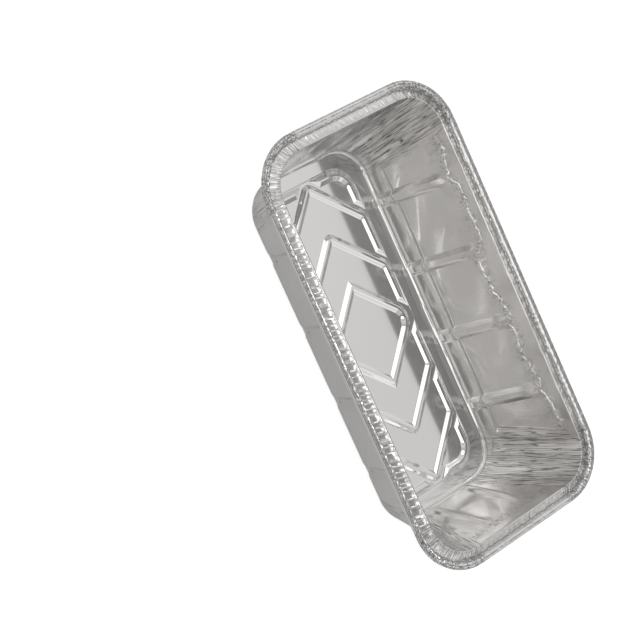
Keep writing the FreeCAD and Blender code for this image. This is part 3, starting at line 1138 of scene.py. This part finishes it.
class Nodes:
    """The nodes of a material or of the world, with short ways to add the few kinds needed."""

    def __init__(self, owner: bpy.types.Material | bpy.types.World, shader: str) -> None:
        """Take hold of its nodes.

        Args:
            owner: the material or world.
            shader: the name of its shader's node.
        """
        owner.use_nodes = True
        self.tree = owner.node_tree
        self.shader = self.tree.nodes[shader]

    def fill(self, socket: Socket, value: Value) -> None:
        """Link a value to a socket, or set it there.

        Args:
            socket: the socket.
            value: another node's output, or a plain value.
        """
        if isinstance(value, Socket):
            self.tree.links.new(value, socket)
        else:
            socket.default_value = value

    def add(self, kind: str, *inputs: Value, **settings: object) -> bpy.types.Node:
        """Add a node.

        Args:
            kind: the node's type.
            inputs: what goes into its first inputs, in order.
            settings: its own settings, by name.

        Returns:
            The node.
        """
        node = self.tree.nodes.new(kind)
        for name, value in settings.items():
            setattr(node, name, value)
        for socket, value in zip(node.inputs, inputs):
            self.fill(socket, value)
        return node

    def feed(self, node: bpy.types.Node, **values: Value) -> None:
        """Fill inputs of a node by name.

        Args:
            node: the node.
            values: what goes in, by the input's name in lower case with underscores.
        """
        sockets = {}
        for socket in node.inputs:
            if socket.enabled:
                sockets[socket.name.lower().replace(" ", "_")] = socket
        for name, value in values.items():
            self.fill(sockets[name], value)

    def work_out(self, operation: str, *values: Socket | float, clamp: bool = False) -> Socket:
        """Return the result of a sum on one to three values."""
        return self.add("ShaderNodeMath", *values, operation=operation, use_clamp=clamp).outputs[0]

    def times(self, first: Socket, *others: Socket | float) -> Socket:
        """Multiply values.

        Args:
            first: the first value.
            others: the others.

        Returns:
            Their product.
        """
        for other in others:
            first = self.work_out("MULTIPLY", first, other)
        return first

    def ramp(self, value: Socket, low: float, high: float, start: float, end: float) -> Socket:
        """Return a value carried smoothly from one range to another."""
        limits = (low, high, start, end)
        return self.add("ShaderNodeMapRange", value, *limits, interpolation_type="SMOOTHSTEP").outputs[0]

    def stroke(self, value: Socket, middle: float, half: float, strength: float = 1.0) -> Socket:
        """Return a strength where a value is at the middle, and 0 from half a width away."""
        away = self.work_out("ABSOLUTE", self.work_out("SUBTRACT", value, middle))
        return self.ramp(away, 0.0, half, strength, 0.0)

    def noise(self, place: Socket, fineness: Triple, detail: float) -> Socket:
        """Add noise about 0.5.

        Args:
            place: where it is read.
            fineness: how fast it changes along each axis.
            detail: how many finer layers it has.

        Returns:
            The noise.
        """
        stretched = self.add("ShaderNodeVectorMath", place, fineness, operation="MULTIPLY")
        grain = self.add("ShaderNodeTexNoise")
        self.feed(grain, vector=stretched.outputs[0], scale=1.0, detail=detail)
        return grain.outputs["Fac"]

    def grooves(self, place: Socket, fineness: Triple, half: float) -> Socket:
        """Return 1 in the middle of thin wandering grooves and 0 beside them."""
        return self.stroke(self.noise(place, fineness, 1.0), 0.5, half)


@dataclass(frozen=True)
class FoilFinish:
    """Bright rolled aluminium foil, a mirror on the floor and finely creased where it is gathered, with
    painted shade down its fine folds.
    """

    # The metal's colour, and the painted shade down in a sharp fold, which sees mostly itself and so gets
    # little light.
    colour: Colour = (0.808, 0.798, 0.786, 1.0)
    shade: Colour = (0.24, 0.24, 0.24, 1.0)
    # How far floor and walls blur what they reflect, and the heights between which that changes.
    floor_roughness: float = 0.08
    wall_roughness: float = 0.17
    gloss_change: Pair = (0.002, 0.006)
    # Heights in metres, and how fast the crinkle changes along each axis.
    crinkle: float = 0.00003
    crinkle_fineness: Triple = (520.0, 520.0, 520.0)
    fold_depth: float = 0.00007
    # Fineness and width of the grooves among the gathers, on the roll and under the collar, which are
    # bumped in and darkened with painted shade.
    gather_grooves: tuple[Triple, float] = ((1000.0, 38.0, 0.0), 0.045)
    knot_grooves: tuple[Triple, float] = ((800.0, 650.0, 0.0), 0.09)
    crumple_grooves: tuple[Triple, float] = ((560.0, 560.0, 560.0), 0.07)
    crumple_strength: float = 0.6
    # The roll's two dashed lines past the lip, bumped in and darkened with painted shade, and the noise
    # where a dash ends and starts.
    flange_end: Pair = (-0.0052, -0.0046)
    roll_lines: Pair = (0.0080, 0.0098)
    roll_line_half: float = 0.0005
    dash_fineness: Triple = (900.0, 300.0, 0.0)
    dash_range: Colour = (0.42, 0.56, 0.2, 1.0)
    # The ragged crease between flange and roll, bumped in and drawn as a dark line of painted shade, and
    # how far it wanders.
    seam: float = 0.0046
    seam_half: float = 0.0004
    seam_fineness: Triple = (650.0, 0.0, 0.0)
    seam_wander: float = 0.0022
    # The creases along the ledge, under the rim, on the long sides only, bumped in and darkened with
    # painted shade.
    ledge_lines: Pair = (0.0454, 0.0471)
    ledge_line_half: float = 0.0004
    ledge_line_strength: float = 0.6
    ledge_sides: Pair = (0.031, 0.034)

    def material(self) -> bpy.types.Material:
        """Build the material.

        Returns:
            The material.
        """
        material = bpy.data.materials.new("bright_foil")
        foil = Nodes(material, "Principled BSDF")
        place = foil.add("ShaderNodeTexCoord").outputs["Object"]
        height = foil.add("ShaderNodeSeparateXYZ", place).outputs["Z"]
        up_wall = foil.ramp(height, *self.gloss_change, 0.0, 1.0)
        folds = self.folds(foil, place)
        # Painted shade: the colour is mixed towards the shade colour as deep as a point lies in a fine
        # fold.
        colour = foil.add("ShaderNodeMix", data_type="RGBA")
        foil.feed(colour, factor=folds, a=self.colour, b=self.shade)
        crinkle = foil.noise(place, self.crinkle_fineness, 2.0)
        crinkle = foil.times(crinkle, self.crinkle, up_wall)
        level = foil.work_out("SUBTRACT", crinkle, foil.times(folds, self.fold_depth))
        bump = foil.add("ShaderNodeBump")
        foil.feed(bump, distance=1.0, height=level)
        foil.feed(
            foil.shader,
            metallic=1.0,
            roughness=foil.ramp(up_wall, 0.0, 1.0, self.floor_roughness, self.wall_roughness),
            base_color=colour.outputs["Result"],
            normal=bump.outputs["Normal"],
        )
        return material

    def folds(self, foil: Nodes, place: Socket) -> Socket:
        """Add the fine sharp folds, bumped in and darkened with painted shade: in the gathers, on the
        rim, along the ledge and in crumples.

        Args:
            foil: the material's nodes.
            place: where in the pan a point is.

        Returns:
            How deep in a fold a point is, from 0 to 1, which sets both the bump and the painted shade.
        """
        laid = foil.add("ShaderNodeAttribute", attribute_name=LAID).outputs["Vector"]
        crumpled = foil.add("ShaderNodeAttribute", attribute_name=CRUMPLED).outputs["Fac"]
        parts = foil.add("ShaderNodeSeparateXYZ", laid).outputs
        along, gathered = parts["Y"], parts["Z"]
        plain = foil.work_out("SUBTRACT", 1.0, gathered)
        on_roll = foil.ramp(along, *self.flange_end, 1.0, 0.0)
        off_roll = foil.work_out("SUBTRACT", 1.0, on_roll)
        # Fine grooves among the gathers, bumped in and darkened with painted shade.
        gathers = foil.times(foil.grooves(laid, *self.gather_grooves), gathered, off_roll)

        # The ragged crease between flange and roll, bumped in and darkened with painted shade.
        wander = foil.work_out("SUBTRACT", foil.noise(laid, self.seam_fineness, 2.0), 0.5)
        wandered = foil.work_out("ADD", along, foil.times(wander, self.seam_wander))
        seam = foil.stroke(wandered, -self.seam, self.seam_half)

        # Dashed lines and knots along the roll, bumped in and darkened with painted shade.
        knots = foil.times(foil.grooves(laid, *self.knot_grooves), gathered)
        dashes = foil.ramp(foil.noise(laid, self.dash_fineness, 1.0), *self.dash_range)
        lines = [foil.stroke(along, -line, self.roll_line_half) for line in self.roll_lines]
        dashed = foil.times(foil.work_out("ADD", *lines), dashes)
        roll = foil.times(foil.work_out("MAXIMUM", dashed, knots), on_roll)

        # Grooves where the foil is crumpled, bumped in and darkened with painted shade.
        strength = foil.ramp(crumpled, 0.0, 1.0, 0.0, self.crumple_strength)
        crumples = foil.times(foil.grooves(place, *self.crumple_grooves), strength)

        # Two creases along the ledge on the long sides, bumped in and darkened with painted shade.
        stroke = (self.ledge_line_half, self.ledge_line_strength)
        lines = [foil.stroke(along, line, *stroke) for line in self.ledge_lines]
        aside = foil.work_out("ABSOLUTE", foil.add("ShaderNodeSeparateXYZ", place).outputs["Y"])
        on_sides = foil.ramp(aside, *self.ledge_sides, 0.0, 1.0)
        ledge = foil.times(foil.work_out("ADD", *lines), on_sides, plain)

        rim = foil.work_out("ADD", foil.work_out("MAXIMUM", gathers, seam), roll)
        wall = foil.work_out("MAXIMUM", crumples, ledge)
        return foil.work_out("ADD", rim, wall, clamp=True)


@dataclass(frozen=True)
class SoftBox:
    """A soft patch of light in the room round the pan.

    Args:
        toward: the direction of its middle.
        core: angle from the middle at which it is still full, in degrees.
        edge: angle from the middle at which it has faded out, in degrees.
        level: its light.
    """

    toward: Triple
    core: float
    edge: float
    level: float


@dataclass(frozen=True)
class PanelRing:
    """A ring of soft panels hung round the room at one height.

    Args:
        elevation: how high it hangs, in degrees.
        first: how far round from +X its first panel hangs, in degrees.
        levels: the light of each panel, going round.
        core: angle from a panel's middle at which it is still full, in degrees.
        edge: angle from its middle at which it has faded out, in degrees.
    """

    elevation: float
    first: float
    levels: tuple[float, ...]
    core: float = 3.0
    edge: float = 27.0

    def boxes(self) -> list[SoftBox]:
        """Hang its panels.

        Returns:
            The panels.
        """
        up, level = math.sin(math.radians(self.elevation)), math.cos(math.radians(self.elevation))
        made = []
        for index, light in enumerate(self.levels):
            turn = math.radians(self.first + 360 * index / len(self.levels))
            toward = (level * math.cos(turn), level * math.sin(turn), up)
            made.append(SoftBox(toward, self.core, self.edge, light))
        return made


@dataclass
class Studio:
    """The pale floor, the dim room with its soft panels, and the camera."""

    # Rings of panels from overhead down, and small patches for single bright reflections.
    rings: tuple[PanelRing, ...] = (
        PanelRing(90.0, 0.0, (0.09,)),
        PanelRing(68.0, 0.0, (0.19, 0.05, 0.33, 0.2, 0.17, 0.03)),
        PanelRing(48.0, 18.0, (0.34, 0.18, 0.0, 0.22, 0.5, 0.0, 0.13, 0.27, 0.06, 0.29)),
        PanelRing(28.0, 0.0, (0.03, 0.33, 0.37, 0.42, 0.52, 0.13, 0.44, 0.5, 0.63, 0.57, 0.46, 0.04)),
        PanelRing(10.0, 15.0, (0.47, 0.25, 0.12, 0.24, 0.41, 0.5, 0.47, 0.51, 0.5, 0.48, 0.45, 0.39)),
    )
    glints: tuple[SoftBox, ...] = (
        SoftBox((0.14, 0.52, 0.85), 12.0, 24.0, 0.5),
        SoftBox((-0.56, -0.22, 0.79), 6.0, 13.0, 1.3),
        SoftBox((0.77, -0.14, 0.62), 6.0, 13.0, 0.5),
        SoftBox((0.15, -0.55, 0.82), 4.5, 8.0, 2.0),
        SoftBox((0.1, 0.93, 0.4), 4.0, 9.0, 3.0),
        SoftBox((-0.23, -0.44, 0.87), 6.0, 13.0, 0.3),
        SoftBox((0.0, -0.36, 0.93), 4.0, 8.0, 0.35),
        SoftBox((0.51, -0.38, 0.77), 6.0, 13.0, 0.25),
    )
    # The camera: what it looks at, how far round from +Y and how far down, and its own turn.
    target: Triple = (-0.02317, -0.03856, 0.025)
    distance: float = 0.89673
    azimuth: float = math.radians(15.608)
    elevation: float = math.radians(57.687)
    roll: float = math.radians(78.868)
    lens: float = 108.66
    film: float = 36.0
    nearest: float = 0.05
    # The floor, how far its white is lifted, and the share of that which reflections show.
    floor_half: float = 3.0
    floor_colour: Colour = (0.68, 0.68, 0.68, 1.0)
    floor_lift: float = 0.68
    floor_mirrored: float = 0.1

    def camera(self) -> None:
        """Set up the camera."""
        data = bpy.data.cameras.new("camera")
        data.lens = self.lens
        data.sensor_width = self.film
        data.clip_start = self.nearest
        camera = shown("camera", data)
        level, down = math.cos(self.elevation), math.sin(self.elevation)
        view = Vector((math.sin(self.azimuth) * level, math.cos(self.azimuth) * level, -down))
        turn = view.to_track_quat("-Z", "Y").to_matrix() @ Matrix.Rotation(self.roll, 3, "Z")
        place = Matrix.Translation(Vector(self.target) - view * self.distance)
        camera.matrix_world = place @ turn.to_4x4()
        bpy.context.scene.camera = camera

    def floor(self) -> bpy.types.Object:
        """Make the pale floor.

        Returns:
            The floor.
        """
        mesh = bmesh.new()
        bmesh.ops.create_grid(mesh, x_segments=1, y_segments=1, size=self.floor_half)
        floor = shown_mesh("studio_floor", mesh)
        floor.data.materials.append(self.white())
        return floor

    def white(self) -> bpy.types.Material:
        """Build the floor's white, lifted a little for the eye and for reflections.

        Returns:
            The material, which still takes the pan's shadow.
        """
        material = bpy.data.materials.new("studio_white")
        paint = Nodes(material, "Principled BSDF")
        path = paint.add("ShaderNodeLightPath").outputs
        direct = paint.work_out("MAXIMUM", path["Is Camera Ray"], path["Is Transmission Ray"])
        mirrored = paint.times(path["Is Glossy Ray"], self.floor_mirrored)
        seen = paint.work_out("ADD", direct, mirrored, clamp=True)
        paint.feed(
            paint.shader,
            base_color=self.floor_colour,
            roughness=1.0,
            specular_ior_level=0.0,
            emission_color=(1.0, 1.0, 1.0, 1.0),
            emission_strength=paint.times(seen, self.floor_lift),
        )
        return material

    def world(self) -> None:
        """Make the dark room with its rings of panels and its few small patches of light."""
        world = bpy.data.worlds.new("studio")
        bpy.context.scene.world = world
        room = Nodes(world, "Background")
        toward = room.add("ShaderNodeTexCoord").outputs["Generated"]
        light = 0.0
        for box in [panel for ring in self.rings for panel in ring.boxes()] + list(self.glints):
            middle = Vector(box.toward).normalized()
            reach = room.add("ShaderNodeVectorMath", toward, middle, operation="DOT_PRODUCT")
            edge, core = math.cos(math.radians(box.edge)), math.cos(math.radians(box.core))
            glow = room.ramp(reach.outputs["Value"], edge, core, 0.0, box.level)
            light = room.work_out("ADD", light, glow)
        room.feed(room.shader, color=light)

    def build(self) -> None:
        """Set the whole studio up."""
        self.world()
        self.camera()
        self.floor()
        bpy.context.scene.view_settings.view_transform = "Standard"


def creases(*rows: tuple[float, ...]) -> list[Crease | Dent]:
    """Make creases from rows of start, end, width and depth in millimetres.

    Args:
        rows: each as x, z, x, z, width and depth.

    Returns:
        The creases.
    """
    made = []
    for row in rows:
        x0, z0, x1, z1, width, depth = (value / 1000 for value in row)
        made.append(Crease((x0, z0), (x1, z1), width, depth))
    return made


def pressed_relief(sizes: PanSizes) -> WallRelief:
    """Choose the creases and dents of every wall.

    Args:
        sizes: the pan's sizes.

    Returns:
        The relief.
    """
    back = creases(
        (-53.5, 22.5, -27.0, 12.0, 1.7, 0.3),
        (-72.5, 53.0, -65.5, 36.0, 1.5, 0.4),
        (-68.5, 22.5, -58.5, 12.5, 1.7, 0.28),
        (-37.0, 33.0, -24.0, 24.0, 2.2, 0.14),
        (6.0, 15.5, 13.0, 33.0, 3.0, 0.16),
        (28.0, 17.0, 52.0, 18.0, 3.0, 0.3),
        (-14.0, 15.0, 2.0, 16.5, 2.2, 0.25),
        (-75.0, 41.0, -66.0, 39.0, 1.8, 0.2),
        (31.0, 33.0, 37.0, 29.0, 2.5, 0.12),
        (62.0, 26.0, 70.0, 21.0, 3.0, 0.1),
    )
    front = [fold.turned() for fold in back[:8]]
    back.append(Dent((-0.034, 0.031), (0.004, 0.003), 0.0002))
    left = creases(
        (-10.5, 42.0, -8.5, 54.0, 1.8, 0.25),
        (-8.5, 54.0, -4.0, 33.0, 1.8, 0.25),
        (2.0, 52.0, 5.0, 34.0, 1.8, 0.22),
        (5.0, 34.0, 9.0, 50.0, 1.8, 0.22),
        (-20.0, 20.0, -16.0, 12.0, 1.6, 0.3),
        (13.5, 47.0, 15.5, 24.0, 1.8, 0.25),
    )
    right = creases(
        (-20.0, 44.0, -8.0, 20.0, 3.5, 0.12),
        (-4.0, 50.0, 6.0, 30.0, 3.0, 0.14),
        (6.0, 22.0, 18.0, 42.0, 3.5, 0.12),
        (-14.0, 14.0, 2.0, 20.0, 3.0, 0.12),
    )
    line = (
        (-78, 47), (-73, 50), (-61, 47.5), (-56, 46), (-52, 50), (-24, 49.5), (-19, 46), (-14, 42.5),
        (0, 43), (16, 47), (20, 44), (25, 46), (37, 43.5), (50, 47.5), (57, 46), (62, 48), (82, 50),
    )
    sides = {0: back, 1: left, 2: front, 3: right}
    return WallRelief(sizes, sides, tuple((x / 1000, z / 1000) for x, z in line))


def dress(piece: bpy.types.Object, material: bpy.types.Material) -> None:
    """Give a piece its material and its place in the frame.

    Args:
        piece: the piece.
        material: its finish.
    """
    piece.data.materials.append(material)
    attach(piece, "root")
    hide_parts(NODE)
    LOG.info("%s: %d faces", piece.name, len(piece.data.polygons))


def main() -> None:
    """Build the pan and the studio from the part's box."""
    logging.basicConfig(level=logging.INFO, format="%(message)s")
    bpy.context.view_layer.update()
    low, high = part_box(NODE)
    sizes = PanSizes((high.x - low.x) / 2, (high.y - low.y) / 2, high.z)
    floor = sizes.floor()
    half_length = floor.half_length - sizes.panel_end_margin
    half_width = floor.half_width - sizes.panel_side_margin
    pan = LoafPan(sizes, FloorPattern(half_length, half_width), Pleating(), pressed_relief(sizes))
    dress(pan.build(), FoilFinish().material())
    Studio().build()


if __name__ == "__main__":
    main()
